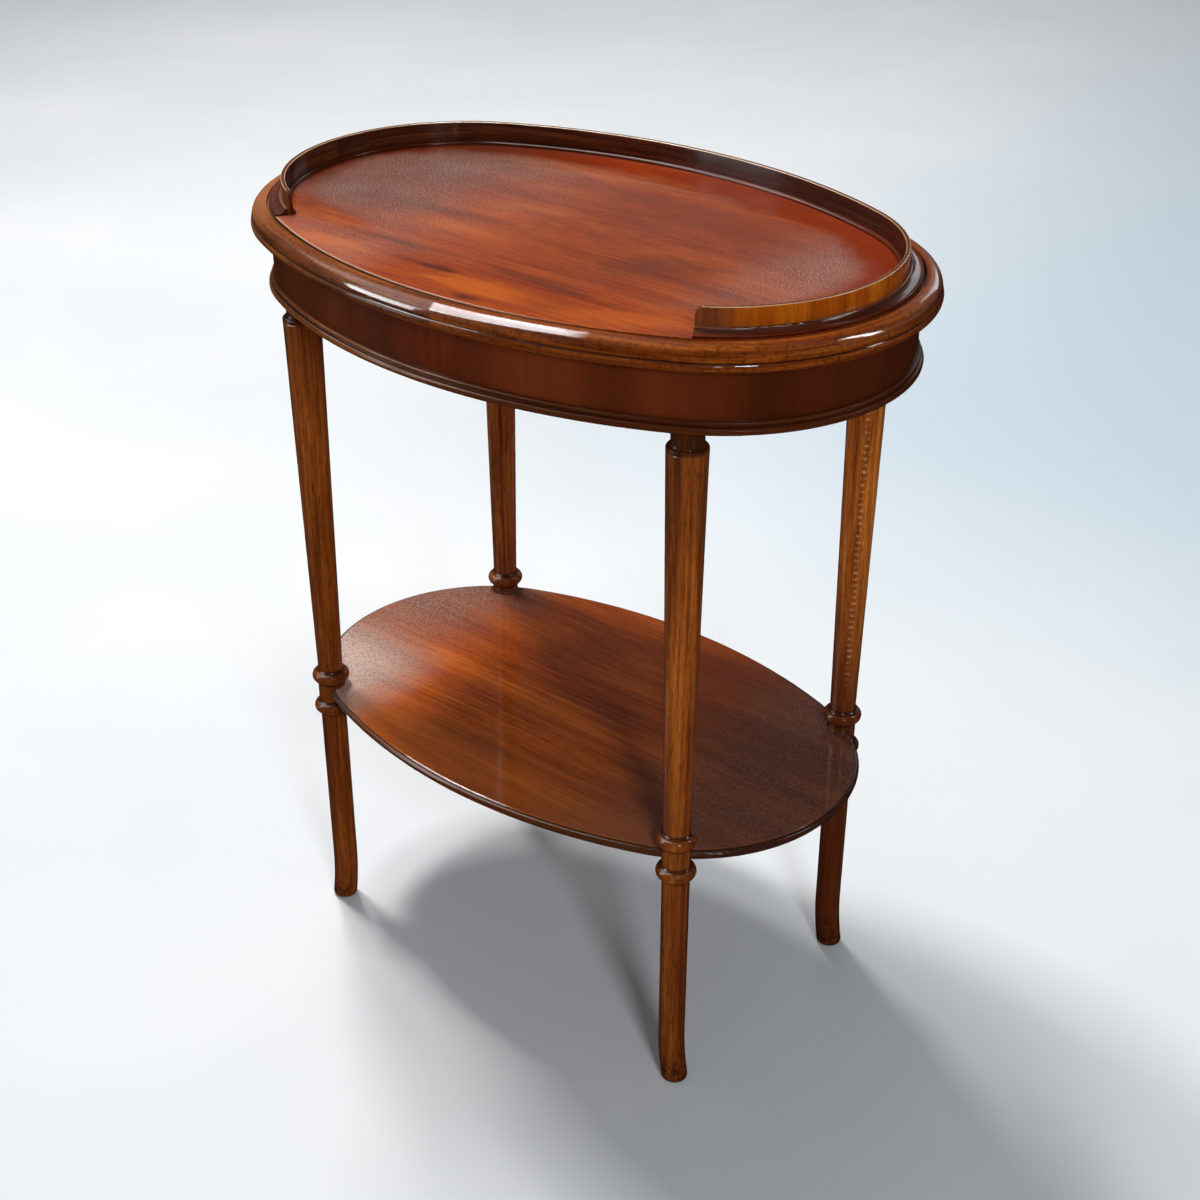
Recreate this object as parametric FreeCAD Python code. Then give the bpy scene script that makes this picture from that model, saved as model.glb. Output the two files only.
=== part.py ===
import FreeCAD, Part
import math
import os

# Two-tier oval side table in mahogany: a moulded oval top with a three-quarter
# gallery, a veneered frieze, four turned legs and an oval lower shelf.
# All lengths are millimetres. The floor is height zero and the origin lies on
# it under the middle of the top. X runs along the long axis, and the gallery
# is open on the -Y side.

# Top panel outline: a four-centred oval, from which every other line of the
# top and the frieze is offset. The end radius is a share of the half width.
panel_length = 583.4
panel_width = 373.8
panel_end_radius_share = 0.834
panel_height = 700.0
veneer_thickness = 1.0
board_thickness = 19.5

# Rim moulding planted round the board
rim_projection = 16.3
rim_bead_radius = 4.9
rim_bead_reveal = 1.2
rim_crown_rise = 4.6
rim_crown_drop = 0.5
rim_quirk_width = 2.0
rim_quirk_depth = 2.7
rim_joint_x = 25.0
tongue_height = 5.0
tongue_depth = 6.0
tongue_rise = 6.5

# Gallery strip standing in a groove, with a cove moulding outside it and a
# small bead inside
gallery_inset = 11.0
gallery_thickness = 4.0
gallery_height = 19.4
gallery_groove_depth = 4.0
gallery_arris = 1.0
gallery_end_rounding = 7.2
gallery_right_end_angle = 60.0
gallery_left_end_angle = 62.7
gallery_joint_x = -85.0
gallery_bead_width = 3.4
gallery_bead_height = 2.9
gallery_bead_lip = 0.7
cove_height = 5.0
cove_lip = 1.6
cove_hollow = 1.2
cove_bead_width = 2.8
cove_bead_drop = 0.8
cove_bead_rise = 0.8

# Frieze: two courses of curved bricks, veneered outside
frieze_face_offset = 0.4
frieze_wall_inside_pins = 4.7
frieze_core_height = 50.4
frieze_veneer_thickness = 1.0
course_joint_share = 0.5

# Double bead moulding round the foot of the frieze
apron_bead_drop = 1.0
apron_large_bead_radius = 3.1
apron_large_bead_projection = 5.2
apron_small_bead_radius = 1.7
apron_small_bead_projection = 3.0
apron_bead_gap = 0.8

# Legs
leg_inset = 15.9
leg_angle = 61.2
leg_pin_radius = 8.0
leg_pin_length = 38.0
leg_collar_radius = 13.5
leg_collar_height = 6.6
leg_throat_radius = 12.8
leg_throat_height = 5.6
leg_shoulder_radius = 16.3
leg_shoulder_drop = 19.4
leg_shoulder_rounding = 2.6
leg_scribe_drop = 20.4
leg_scribe_width = 1.2
leg_scribe_depth = 0.5
leg_waist_radius = 11.4
leg_neck_radius = 12.4
leg_lower_radius = 11.8
leg_foot_radius = 11.5
ring_radius = 17.2
ring_half_height = 5.6
ring_spacing = 33.0
ring_fillet = 1.3
foot_sweep_height = 52.0
foot_sweep_out = 5.0
foot_arris = 3.4

# Shelf
shelf_height = 247.5
shelf_thickness = 10.5
shelf_end_setback = 18.6
shelf_side_setback = 13.7
shelf_past_leg_axis = 3.5
shelf_nose_share = 0.62
shelf_quirk_width = 1.1
shelf_under_chamfer = 2.4
dowel_radius = 3.0
dowel_length = 30.0
dowel_in_leg = 8.0

# Screws that draw the top down on the frieze, in pockets inside the frieze
screw_radius = 2.1
screw_head_radius = 4.2
screw_head_height = 2.6
screw_slot_width = 0.9
screw_slot_depth = 1.0
screw_length = 28.0
screw_from_inner_face = 8.6
screw_seat_depth = 15.0
screw_pocket_width = 14.0
screw_pocket_floor = 5.4
screw_station_shares = (0.3, 0.7)

# Fits
glue_line = 0.1
overrun = 5.0

UP = FreeCAD.Vector(0, 0, 1)
ORIGIN = FreeCAD.Vector(0, 0, 0)
HALF_TURN = 180.0
QUARTER_TURN = 90.0
HALF_CHORD_SHARE = math.sqrt(2) / 2


class Oval:
    """A four-centred oval: two end arcs and two flatter side arcs, all tangent."""

    def __init__(self, half_length, half_width, end_radius):
        self.half_length = half_length
        self.half_width = half_width
        self.end_radius = end_radius
        self.end_x = half_length - end_radius
        rise = self.end_x ** 2 + half_width ** 2 - end_radius ** 2
        self.side_radius = rise / (2 * (half_width - end_radius))
        self.side_y = self.side_radius - half_width
        self.side_angle = math.degrees(math.atan2(self.end_x, self.side_y))
        self.end_angle = QUARTER_TURN - self.side_angle

    def sectors(self):
        """Right end, back, left end, front: centre, radius, start angle and span."""
        right = FreeCAD.Vector(self.end_x, 0, 0)
        back = FreeCAD.Vector(0, -self.side_y, 0)
        return [
            (right, self.end_radius, -self.end_angle, 2 * self.end_angle),
            (back, self.side_radius, self.end_angle, 2 * self.side_angle),
            (-right, self.end_radius, HALF_TURN - self.end_angle, 2 * self.end_angle),
            (-back, self.side_radius, HALF_TURN + self.end_angle, 2 * self.side_angle),
        ]

    def plate(self, offset, bottom, top):
        """A flat plate whose edge is the oval moved outwards by offset."""
        edges = []
        for centre, radius, start, span in self.sectors():
            edges.append(Part.makeCircle(radius + offset, centre, UP, start, start + span))
        plate = Part.Face(Part.Wire(edges)).extrude(FreeCAD.Vector(0, 0, top - bottom))
        plate.translate(FreeCAD.Vector(0, 0, bottom))
        return plate

    def open_sectors(self, right_angle, left_angle):
        """The run round the back, between an angle on the right end and one on the left."""
        right, back, left, front = self.sectors()
        return [
            (right[0], right[1], -right_angle, right_angle + self.end_angle),
            back,
            (left[0], left[1], left[2], left_angle + self.end_angle),
        ]


def section(start, *steps):
    """A closed face in (offset, height): each step is [end] or [point between, end]."""
    edges = []
    here = FreeCAD.Vector(start[0], 0, start[1])
    for step in steps:
        points = [FreeCAD.Vector(x, 0, z) for x, z in step]
        if len(points) == 1:
            edges.append(Part.makeLine(here, points[0]))
        else:
            edges.append(Part.Arc(here, points[0], points[1]).toShape())
        here = points[-1]
    return Part.Face(Part.Wire(edges))


def rectangle(x_low, x_high, z_low, z_high):
    return section((x_low, z_low), [(x_high, z_low)], [(x_high, z_high)], [(x_low, z_high)],
                   [(x_low, z_low)])


def on_circle(centre, radius, angle):
    turn = math.radians(angle)
    return (centre[0] + radius * math.cos(turn), centre[1] + radius * math.sin(turn))


def sweep(face, sectors):
    """Carry a section round the given sectors of an oval and join the runs."""
    runs = []
    for centre, radius, start, span in sectors:
        run = face.copy()
        run.translate(FreeCAD.Vector(radius, 0, 0))
        run.rotate(ORIGIN, UP, start)
        run.translate(centre)
        runs.append(run.revolve(centre, UP, span))
    joined = runs[0]
    for run in runs[1:]:
        joined = joined.fuse(run)
    return Part.Solid(joined.removeSplitter().Solids[0])


def block(low, high):
    """A box between two corners."""
    size = [b - a for a, b in zip(low, high)]
    return Part.makeBox(size[0], size[1], size[2], FreeCAD.Vector(*low))


def part_of(shape, x_range, y_range):
    """The piece of a ring that lies within a range of X and of Y."""
    box = shape.BoundBox
    low = (x_range[0], y_range[0], box.ZMin - overrun)
    high = (x_range[1], y_range[1], box.ZMax + overrun)
    return shape.common(block(low, high))


def pin(radius, length, start, direction=UP):
    return Part.makeCylinder(radius, length, FreeCAD.Vector(*start), direction)


def save(name, shape):
    solids = shape.Solids
    for solid in solids:
        if not solid.isValid():
            print("not valid:", name)
    shape.exportStep("parts/" + name + ".step")
    print(name, len(solids), "solid(s), volume", round(shape.Volume / 1000, 2), "cm3")


panel = Oval(panel_length / 2, panel_width / 2, panel_width / 2 * panel_end_radius_share)
far = panel_length
board_top = panel_height - veneer_thickness
board_bottom = board_top - board_thickness
frieze_bottom = board_bottom - frieze_core_height
course_joint = (board_bottom + frieze_bottom) / 2
core_face = frieze_face_offset - frieze_veneer_thickness
frieze_core_thickness = core_face + leg_inset + leg_pin_radius + frieze_wall_inside_pins
leg_axis_radius = panel.end_radius - leg_inset
leg_x, leg_y = on_circle((panel.end_x, 0), leg_axis_radius, leg_angle)
corners = {
    "front_left": (-1, -1),
    "front_right": (1, -1),
    "back_right": (1, 1),
    "back_left": (-1, 1),
}


# Screws and their pockets
screw_offset = core_face - frieze_core_thickness + screw_from_inner_face
screw_seat = board_bottom - screw_seat_depth


def screw_stations():
    """Centre, angle and axis point of each screw, two on every arc of the oval."""
    stations = []
    for centre, radius, start, span in panel.sectors():
        for share in screw_station_shares:
            angle = start + share * span
            x, y = on_circle((centre.x, centre.y), radius + screw_offset, angle)
            stations.append((centre, radius, angle, (x, y)))
    return stations


def screw_pockets():
    """Slots in the inner face of the frieze with a clearance hole above each."""
    cuts = []
    for centre, radius, angle, (x, y) in screw_stations():
        inner = radius + core_face - frieze_core_thickness - overrun
        outer = radius + screw_offset + screw_pocket_width / 2
        low = (inner, -screw_pocket_width / 2, frieze_bottom + screw_pocket_floor)
        high = (outer, screw_pocket_width / 2, screw_seat)
        pocket = block(low, high)
        pocket.rotate(ORIGIN, UP, angle)
        pocket.translate(centre)
        hole = pin(screw_radius + glue_line, screw_seat_depth + overrun, (x, y, screw_seat))
        cuts.append(pocket.fuse(hole))
    return cuts


def make_screws():
    screws = []
    for centre, radius, angle, (x, y) in screw_stations():
        head_bottom = screw_seat - screw_head_height
        head = Part.makeCone(screw_head_radius, screw_head_radius - screw_slot_depth / 2,
                             screw_head_height, FreeCAD.Vector(x, y, head_bottom))
        shank = pin(screw_radius, screw_length, (x, y, screw_seat))
        slot = block((-screw_head_radius - overrun, -screw_slot_width / 2, head_bottom - overrun),
                     (screw_head_radius + overrun, screw_slot_width / 2,
                      head_bottom + screw_slot_depth))
        slot.rotate(ORIGIN, UP, angle)
        slot.translate(FreeCAD.Vector(x, y, 0))
        screws.append(head.fuse(shank).cut(slot).removeSplitter())
    return Part.makeCompound(screws)


# Top: board, figured veneer and rim moulding
def gallery_groove(bottom, top):
    """The groove that the gallery strip stands in."""
    face = rectangle(-gallery_inset - gallery_thickness - glue_line, -gallery_inset + glue_line,
                     bottom, top)
    return sweep(face, panel.open_sectors(gallery_right_end_angle, gallery_left_end_angle))


tongue_bottom = board_bottom + tongue_rise


def make_board():
    board = panel.plate(0, board_bottom, board_top)
    groove = rectangle(-tongue_depth - glue_line, overrun, tongue_bottom,
                       tongue_bottom + tongue_height)
    board = board.cut(sweep(groove, panel.sectors()))
    board = board.cut(gallery_groove(board_top + veneer_thickness - gallery_groove_depth,
                                     board_top + overrun))
    for centre, radius, angle, (x, y) in screw_stations():
        depth = screw_length - screw_seat_depth
        board = board.cut(pin(screw_radius + glue_line, depth + overrun,
                              (x, y, board_bottom - overrun)))
    return board


def make_veneer():
    veneer = panel.plate(0, board_top, panel_height)
    return veneer.cut(gallery_groove(board_top - overrun, panel_height + overrun))


def arc_between(start, end, rise):
    """The middle of an arc that rises above its chord, or is hollow where rise is negative."""
    reach = end[0] - start[0]
    fall = start[1] - end[1]
    chord = math.hypot(reach, fall)
    return ((start[0] + end[0]) / 2 + rise * fall / chord,
            (start[1] + end[1]) / 2 + rise * reach / chord)


def rim_section():
    """A broad crown over a bead, with a quirk against the panel and a tongue."""
    bead = (rim_projection - rim_bead_radius, board_bottom + rim_bead_radius)
    valley_angle = math.degrees(math.acos(1 - rim_bead_reveal / rim_bead_radius))
    valley = on_circle(bead, rim_bead_radius, valley_angle)
    bead_middle = on_circle(bead, rim_bead_radius, (valley_angle - QUARTER_TURN) / 2)
    crown_top = (rim_quirk_width, panel_height - rim_crown_drop)
    quirk_floor = panel_height - rim_quirk_depth
    tongue_top = tongue_bottom + tongue_height
    return section(
        (glue_line, board_bottom),
        [(bead[0], board_bottom)],
        [bead_middle, valley],
        [arc_between(crown_top, valley, rim_crown_rise), crown_top],
        [(rim_quirk_width, quirk_floor)],
        [(glue_line, quirk_floor)],
        [(glue_line, tongue_top)],
        [(-tongue_depth, tongue_top)],
        [(-tongue_depth, tongue_bottom)],
        [(glue_line, tongue_bottom)],
        [(glue_line, board_bottom)],
    )


def quarters(ring, joint_x):
    """Four lengths of a moulding, butted at joint_x on the sides and at the ends."""
    pieces = {}
    for corner, (side_x, side_y) in corners.items():
        x_range = (joint_x, far) if side_x > 0 else (-far, joint_x)
        y_range = (0, far) if side_y > 0 else (-far, 0)
        pieces[corner] = part_of(ring, x_range, y_range)
    return pieces


# Gallery
def gallery_section():
    inner = -gallery_inset - gallery_thickness
    outer = -gallery_inset
    bottom = panel_height - gallery_groove_depth
    top = panel_height + gallery_height
    inner_arc = (inner + gallery_arris, top - gallery_arris)
    outer_arc = (outer - gallery_arris, top - gallery_arris)
    arc_middle = QUARTER_TURN / 2
    return section(
        (inner, bottom),
        [(outer, bottom)],
        [(outer, outer_arc[1])],
        [on_circle(outer_arc, gallery_arris, arc_middle), (outer_arc[0], top)],
        [(inner_arc[0], top)],
        [on_circle(inner_arc, gallery_arris, HALF_TURN - arc_middle), (inner, inner_arc[1])],
        [(inner, bottom)],
    )


def gallery_corner_cut(side):
    """What comes off the upper corner of one end: side is 1 at the right, -1 at the left."""
    r = gallery_end_rounding
    top = panel_height + gallery_height
    inner = panel.end_radius - gallery_inset - gallery_thickness - overrun
    outer = panel.end_radius - gallery_inset + overrun
    past, within = -side * overrun, side * r
    corner = block((inner, min(past, within), top - r), (outer, max(past, within), top + overrun))
    rounding = pin(r, outer - inner, (inner, within, top - r), FreeCAD.Vector(1, 0, 0))
    corner = corner.cut(rounding)
    angle = -gallery_right_end_angle if side > 0 else HALF_TURN + gallery_left_end_angle
    corner.rotate(ORIGIN, UP, angle)
    corner.translate(FreeCAD.Vector(side * panel.end_x, 0, 0))
    return corner


def make_gallery():
    """Two bent lengths, butted square to the strip in the back arc."""
    right, back, left = panel.open_sectors(gallery_right_end_angle, gallery_left_end_angle)
    centre, radius, start, span = back
    joint = math.degrees(math.acos(gallery_joint_x / radius))
    right_run = [right, (centre, radius, start, joint - start)]
    left_run = [(centre, radius, joint, start + span - joint), left]
    return {
        "left": sweep(gallery_section(), left_run).cut(gallery_corner_cut(-1)),
        "right": sweep(gallery_section(), right_run).cut(gallery_corner_cut(1)),
    }


def make_gallery_cove():
    """The cove moulding on the ledge outside the strip, cut square at the strip's ends.

    Its lip is flush with the edge of the panel.
    """
    wall = -gallery_inset + glue_line
    crest = (wall, panel_height + cove_height)
    bead_foot = (wall + cove_bead_width, panel_height + cove_height - cove_bead_drop)
    lip = (0, panel_height + cove_lip)
    face = section(
        (wall, panel_height),
        [(0, panel_height)],
        [lip],
        [arc_between(bead_foot, lip, -cove_hollow), bead_foot],
        [arc_between(crest, bead_foot, cove_bead_rise), crest],
        [(wall, panel_height)],
    )
    return sweep(face, panel.open_sectors(gallery_right_end_angle, gallery_left_end_angle))


def make_gallery_bead():
    """The small bead inside the strip, each end returned against it, level with its end."""
    wall = -gallery_inset - gallery_thickness - glue_line
    toe = wall - gallery_bead_width
    lip = gallery_bead_lip
    middle = (toe + (gallery_bead_width - lip) * (1 - HALF_CHORD_SHARE),
              panel_height + lip + (gallery_bead_height - lip) * HALF_CHORD_SHARE)
    face = section(
        (wall, panel_height),
        [(toe, panel_height)],
        [(toe, panel_height + lip)],
        [middle, (wall - lip, panel_height + gallery_bead_height)],
        [(wall, panel_height + gallery_bead_height)],
        [(wall, panel_height)],
    )
    returned = math.degrees(gallery_bead_width / (panel.end_radius + wall))
    bead = sweep(face, panel.open_sectors(gallery_right_end_angle - returned,
                                          gallery_left_end_angle - returned))
    face.translate(FreeCAD.Vector(-wall, 0, 0))
    for end, angle in ((1, returned - gallery_right_end_angle),
                       (-1, HALF_TURN + gallery_left_end_angle - returned)):
        corner = face.revolve(ORIGIN, UP, end * QUARTER_TURN)
        corner.rotate(ORIGIN, UP, angle)
        x, y = on_circle((end * panel.end_x, 0), panel.end_radius + wall, angle)
        corner.translate(FreeCAD.Vector(x, y, 0))
        bead = bead.fuse(corner)
    return bead.removeSplitter()


# Frieze
def leg_pin_bores():
    bores = []
    for side_x, side_y in corners.values():
        start = (side_x * leg_x, side_y * leg_y, frieze_bottom - overrun)
        bores.append(pin(leg_pin_radius + glue_line, leg_pin_length + overrun, start))
    return bores


def frieze_course(bottom, top):
    """One course of the core before it is divided into bricks."""
    ring = sweep(rectangle(core_face - frieze_core_thickness, core_face, bottom, top),
                 panel.sectors())
    for bore in leg_pin_bores():
        ring = ring.cut(bore)
    for pocket in screw_pockets():
        ring = ring.cut(pocket)
    return ring


def between_screw_and_leg(axis, leg_place):
    """Where a joint keeps clear of both: the screw is the one nearest to the leg."""
    places = [abs(station[3][axis]) for station in screw_stations()]
    screw_place = max(place for place in places if place < leg_place)
    return screw_place + course_joint_share * (leg_place - screw_place)


def lower_bricks():
    """Joints in the middle of the long sides and on both sides of each end."""
    ring = frieze_course(frieze_bottom, course_joint)
    joint_y = between_screw_and_leg(1, leg_y)
    end = (-joint_y, joint_y)
    pieces = {
        "left_end": part_of(ring, (-far, -panel.end_x), end),
        "right_end": part_of(ring, (panel.end_x, far), end),
    }
    for corner, (side_x, side_y) in corners.items():
        x_range = (0, far) if side_x > 0 else (-far, 0)
        y_range = (joint_y, far) if side_y > 0 else (-far, -joint_y)
        pieces[corner] = part_of(ring, x_range, y_range)
    return pieces


def upper_bricks():
    """Joints in the middle of the ends and on both sides of each long side."""
    ring = frieze_course(course_joint, board_bottom)
    joint_x = between_screw_and_leg(0, leg_x)
    side = (-joint_x, joint_x)
    pieces = {
        "front_side": part_of(ring, side, (-far, 0)),
        "back_side": part_of(ring, side, (0, far)),
    }
    for corner, (side_x, side_y) in corners.items():
        x_range = (joint_x, far) if side_x > 0 else (-far, -joint_x)
        y_range = (0, far) if side_y > 0 else (-far, 0)
        pieces[corner] = part_of(ring, x_range, y_range)
    return pieces


apron_bead_bottom = frieze_bottom - apron_bead_drop
large_bead_z = apron_bead_bottom + apron_large_bead_radius
large_bead_top = large_bead_z + apron_large_bead_radius
small_bead_z = large_bead_top + apron_bead_gap + apron_small_bead_radius
apron_bead_top = small_bead_z + apron_small_bead_radius


def apron_bead_section():
    """A large bead below a small one, with a narrow groove between them."""
    back = core_face + glue_line
    large_x = frieze_face_offset + apron_large_bead_projection - apron_large_bead_radius
    small_x = frieze_face_offset + apron_small_bead_projection - apron_small_bead_radius
    return section(
        (back, apron_bead_bottom),
        [(large_x, apron_bead_bottom)],
        [(large_x + apron_large_bead_radius, large_bead_z), (large_x, large_bead_top)],
        [(small_x, large_bead_top + apron_bead_gap)],
        [(small_x + apron_small_bead_radius, small_bead_z), (small_x, apron_bead_top)],
        [(back, apron_bead_top)],
        [(back, apron_bead_bottom)],
    )


def make_frieze_veneer():
    back = core_face + glue_line
    ring = sweep(rectangle(back, frieze_face_offset, apron_bead_top, board_bottom),
                 panel.sectors())
    return {
        "front": part_of(ring, (-far, far), (-far, 0)),
        "back": part_of(ring, (-far, far), (0, far)),
    }


# Legs
ring_middle = shelf_height - shelf_thickness / 2
upper_ring_z = ring_middle + ring_spacing / 2
lower_ring_z = ring_middle - ring_spacing / 2


def ring_steps(z, radius_below, radius_above):
    """A turned ring with a small fillet above and below it."""
    low = z - ring_half_height
    high = z + ring_half_height
    return [
        [(radius_below, low - ring_fillet)],
        [(radius_below + ring_fillet, low)],
        [(ring_radius, z), (radius_above + ring_fillet, high)],
        [(radius_above, high + ring_fillet)],
    ]


def leg_section():
    collar_z = frieze_bottom - leg_collar_height
    throat_z = collar_z - leg_throat_height
    shoulder_z = frieze_bottom - leg_shoulder_drop
    scribe_z = frieze_bottom - leg_scribe_drop
    round_x = leg_shoulder_radius - leg_shoulder_rounding
    round_top = shoulder_z + leg_shoulder_rounding
    round_middle = (round_x + leg_shoulder_rounding * HALF_CHORD_SHARE,
                    shoulder_z + leg_shoulder_rounding * HALF_CHORD_SHARE)
    cove_middle = (leg_throat_radius + (round_x - leg_throat_radius) * (1 - HALF_CHORD_SHARE),
                   round_top + (throat_z - round_top) * (1 - HALF_CHORD_SHARE))
    taper = (leg_shoulder_radius - leg_waist_radius) / (scribe_z - upper_ring_z)
    scribe_foot = leg_shoulder_radius - leg_scribe_width * taper
    return section(
        (0, foot_sweep_height),
        [(leg_foot_radius, foot_sweep_height)],
        *ring_steps(lower_ring_z, leg_lower_radius, leg_neck_radius),
        *ring_steps(upper_ring_z, leg_neck_radius, leg_waist_radius),
        [(scribe_foot, scribe_z - leg_scribe_width)],
        [(scribe_foot - leg_scribe_depth, scribe_z - leg_scribe_width / 2)],
        [(leg_shoulder_radius, scribe_z)],
        [(leg_shoulder_radius, shoulder_z)],
        [round_middle, (round_x, round_top)],
        [cove_middle, (leg_throat_radius, throat_z)],
        [(leg_throat_radius, collar_z)],
        [(leg_collar_radius, collar_z)],
        [(leg_collar_radius, frieze_bottom)],
        [(leg_pin_radius, frieze_bottom)],
        [(leg_pin_radius, frieze_bottom + leg_pin_length)],
        [(0, frieze_bottom + leg_pin_length)],
        [(0, foot_sweep_height)],
    )


def make_foot():
    """The last length of the leg, swept outwards along X and flat on the floor."""
    bend = (foot_sweep_height ** 2 + foot_sweep_out ** 2) / (2 * foot_sweep_out)
    start = FreeCAD.Vector(0, 0, foot_sweep_height)
    disc = Part.Face(Part.Wire([Part.makeCircle(leg_foot_radius, start, UP)]))
    turn = math.degrees(math.asin((foot_sweep_height + overrun) / bend))
    foot = disc.revolve(FreeCAD.Vector(bend, 0, foot_sweep_height), FreeCAD.Vector(0, -1, 0), turn)
    reach = 2 * leg_foot_radius + foot_sweep_out
    foot = foot.common(block((-reach, -reach, 0), (reach, reach, foot_sweep_height)))
    edges = [edge for edge in foot.Edges if edge.BoundBox.ZMax < foot_arris]
    return foot.makeFillet(foot_arris, edges)


def dowel_direction():
    """From the leg's axis towards the middle of the shelf's end arc."""
    away = FreeCAD.Vector(shelf.end_x - leg_x, -leg_y, 0)
    return away.normalize()


def dowel(radius, extra):
    inward = dowel_direction()
    start = inward * (leg_neck_radius - dowel_in_leg - extra)
    start.z = ring_middle
    return pin(radius, dowel_length + 2 * extra, start, inward)


def make_leg():
    """The back right leg, standing on the Z axis."""
    leg = leg_section().revolve(ORIGIN, UP, 2 * HALF_TURN)
    leg = leg.fuse(make_foot()).removeSplitter()
    return leg.cut(dowel(dowel_radius + glue_line, glue_line))


def place(shape, side_x, side_y):
    """Move a piece made for the back right leg to any of the four corners."""
    placed = shape.copy()
    if side_x < 0:
        placed = placed.mirror(ORIGIN, FreeCAD.Vector(1, 0, 0))
    if side_y < 0:
        placed = placed.mirror(ORIGIN, FreeCAD.Vector(0, 1, 0))
    placed.translate(FreeCAD.Vector(side_x * leg_x, side_y * leg_y, 0))
    return placed


# Shelf, whose edge passes just outside the axes of the legs
def shelf_oval():
    half_length = panel.half_length - shelf_end_setback
    half_width = panel.half_width - shelf_side_setback
    gap = half_length - leg_x
    radius = (gap ** 2 + leg_y ** 2 - shelf_past_leg_axis ** 2) / (2 * (gap - shelf_past_leg_axis))
    return Oval(half_length, half_width, radius)


shelf = shelf_oval()


def make_shelf():
    """A thin board with a quirked nose on its upper edge and a chamfer below."""
    bottom = shelf_height - shelf_thickness
    board = shelf.plate(0, bottom, shelf_height)
    nose = shelf_thickness * shelf_nose_share / 2
    nose_z = shelf_height - shelf_quirk_width - nose
    nose_low = nose_z - nose
    waste = section(
        (-nose - shelf_quirk_width, shelf_height + overrun),
        [(-nose - shelf_quirk_width, shelf_height)],
        [(-nose, shelf_height - shelf_quirk_width)],
        [(-nose + nose * HALF_CHORD_SHARE, nose_z + nose * HALF_CHORD_SHARE), (0, nose_z)],
        [(-nose + nose * HALF_CHORD_SHARE, nose_z - nose * HALF_CHORD_SHARE), (-nose, nose_low)],
        [(-shelf_under_chamfer - nose, bottom - overrun)],
        [(overrun, bottom - overrun)],
        [(overrun, shelf_height + overrun)],
        [(-nose - shelf_quirk_width, shelf_height + overrun)],
    )
    board = board.cut(sweep(waste, shelf.sectors()))
    notch = pin(leg_neck_radius + glue_line, shelf_thickness + 2 * overrun,
                (0, 0, bottom - overrun))
    cuts = notch.fuse(dowel(dowel_radius + glue_line, glue_line))
    for side_x, side_y in corners.values():
        board = board.cut(place(cuts, side_x, side_y))
    return board


os.makedirs("parts", exist_ok=True)

save("top_board", make_board())
save("top_veneer", make_veneer())
for corner, piece in quarters(sweep(rim_section(), panel.sectors()), rim_joint_x).items():
    save("rim_" + corner, piece)

for end, piece in make_gallery().items():
    save("gallery_strip_" + end, piece)
save("gallery_cove", make_gallery_cove())
save("gallery_bead", make_gallery_bead())

for name, piece in lower_bricks().items():
    save("frieze_lower_" + name, piece)
for name, piece in upper_bricks().items():
    save("frieze_upper_" + name, piece)
for name, piece in make_frieze_veneer().items():
    save("frieze_veneer_" + name, piece)
for corner, piece in quarters(sweep(apron_bead_section(), panel.sectors()), 0).items():
    save("apron_bead_" + corner, piece)

leg = make_leg()
for corner, (side_x, side_y) in corners.items():
    save("leg_" + corner, place(leg, side_x, side_y))
save("shelf", make_shelf())
dowels = [place(dowel(dowel_radius, 0), *side) for side in corners.values()]
save("shelf_dowels", Part.makeCompound(dowels))
save("top_screws", make_screws())
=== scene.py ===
# %% [markdown]
# # A polished two-tier side table
#
# This lesson dresses a finished CAD model. The shapes come from the packed
# frame, so nothing is modelled twice: the work here is wood, polish, light and
# a camera. Every cell says what it does and prints what it made.

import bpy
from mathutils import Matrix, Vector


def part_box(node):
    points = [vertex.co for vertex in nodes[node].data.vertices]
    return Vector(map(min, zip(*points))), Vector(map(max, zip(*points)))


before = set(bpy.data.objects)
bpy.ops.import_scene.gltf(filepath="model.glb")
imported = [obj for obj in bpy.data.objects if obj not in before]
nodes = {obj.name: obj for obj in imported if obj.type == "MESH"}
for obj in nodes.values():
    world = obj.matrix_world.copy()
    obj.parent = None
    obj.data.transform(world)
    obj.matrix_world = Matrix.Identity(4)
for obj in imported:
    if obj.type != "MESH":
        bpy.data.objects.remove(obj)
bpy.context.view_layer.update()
print("nodes:", len(nodes))

# %% [markdown]
# The rest of the imports come after the frame. The table's oval is needed again
# here, because the grain of the mouldings follows it. It could be read off the
# mesh point by point. But the oval is made of four arcs, so two radii say the
# same, and the packed top veneer gives its half length and half width.

# %% The oval
import math
import bpy
from mathutils import Vector

low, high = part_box("top_veneer")
END_RADIUS_SHARE = 0.834
HALF_LENGTH = (high.x - low.x) / 2
HALF_WIDTH = (high.y - low.y) / 2
END_RADIUS = HALF_WIDTH * END_RADIUS_SHARE
END_X = HALF_LENGTH - END_RADIUS
SIDE_RADIUS = (END_X ** 2 + HALF_WIDTH ** 2 - END_RADIUS ** 2) / (2 * (HALF_WIDTH - END_RADIUS))
SIDE_Y = SIDE_RADIUS - HALF_WIDTH
END_ANGLE = math.pi / 2 - math.atan2(END_X, SIDE_Y)
QUARTER = END_RADIUS * END_ANGLE + SIDE_RADIUS * (math.pi / 2 - END_ANGLE)
print("end radius", round(END_RADIUS, 4), "side radius", round(SIDE_RADIUS, 4))
print("a quarter of the way round", round(QUARTER, 4))

# %% [markdown]
# ## A small helper for shader nodes
#
# A shader is a graph of nodes. Graph adds nodes to one tree and joins them, so
# that each step below fits on a line. A value that is a socket gets linked, and
# any other value is written into the node.

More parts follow.
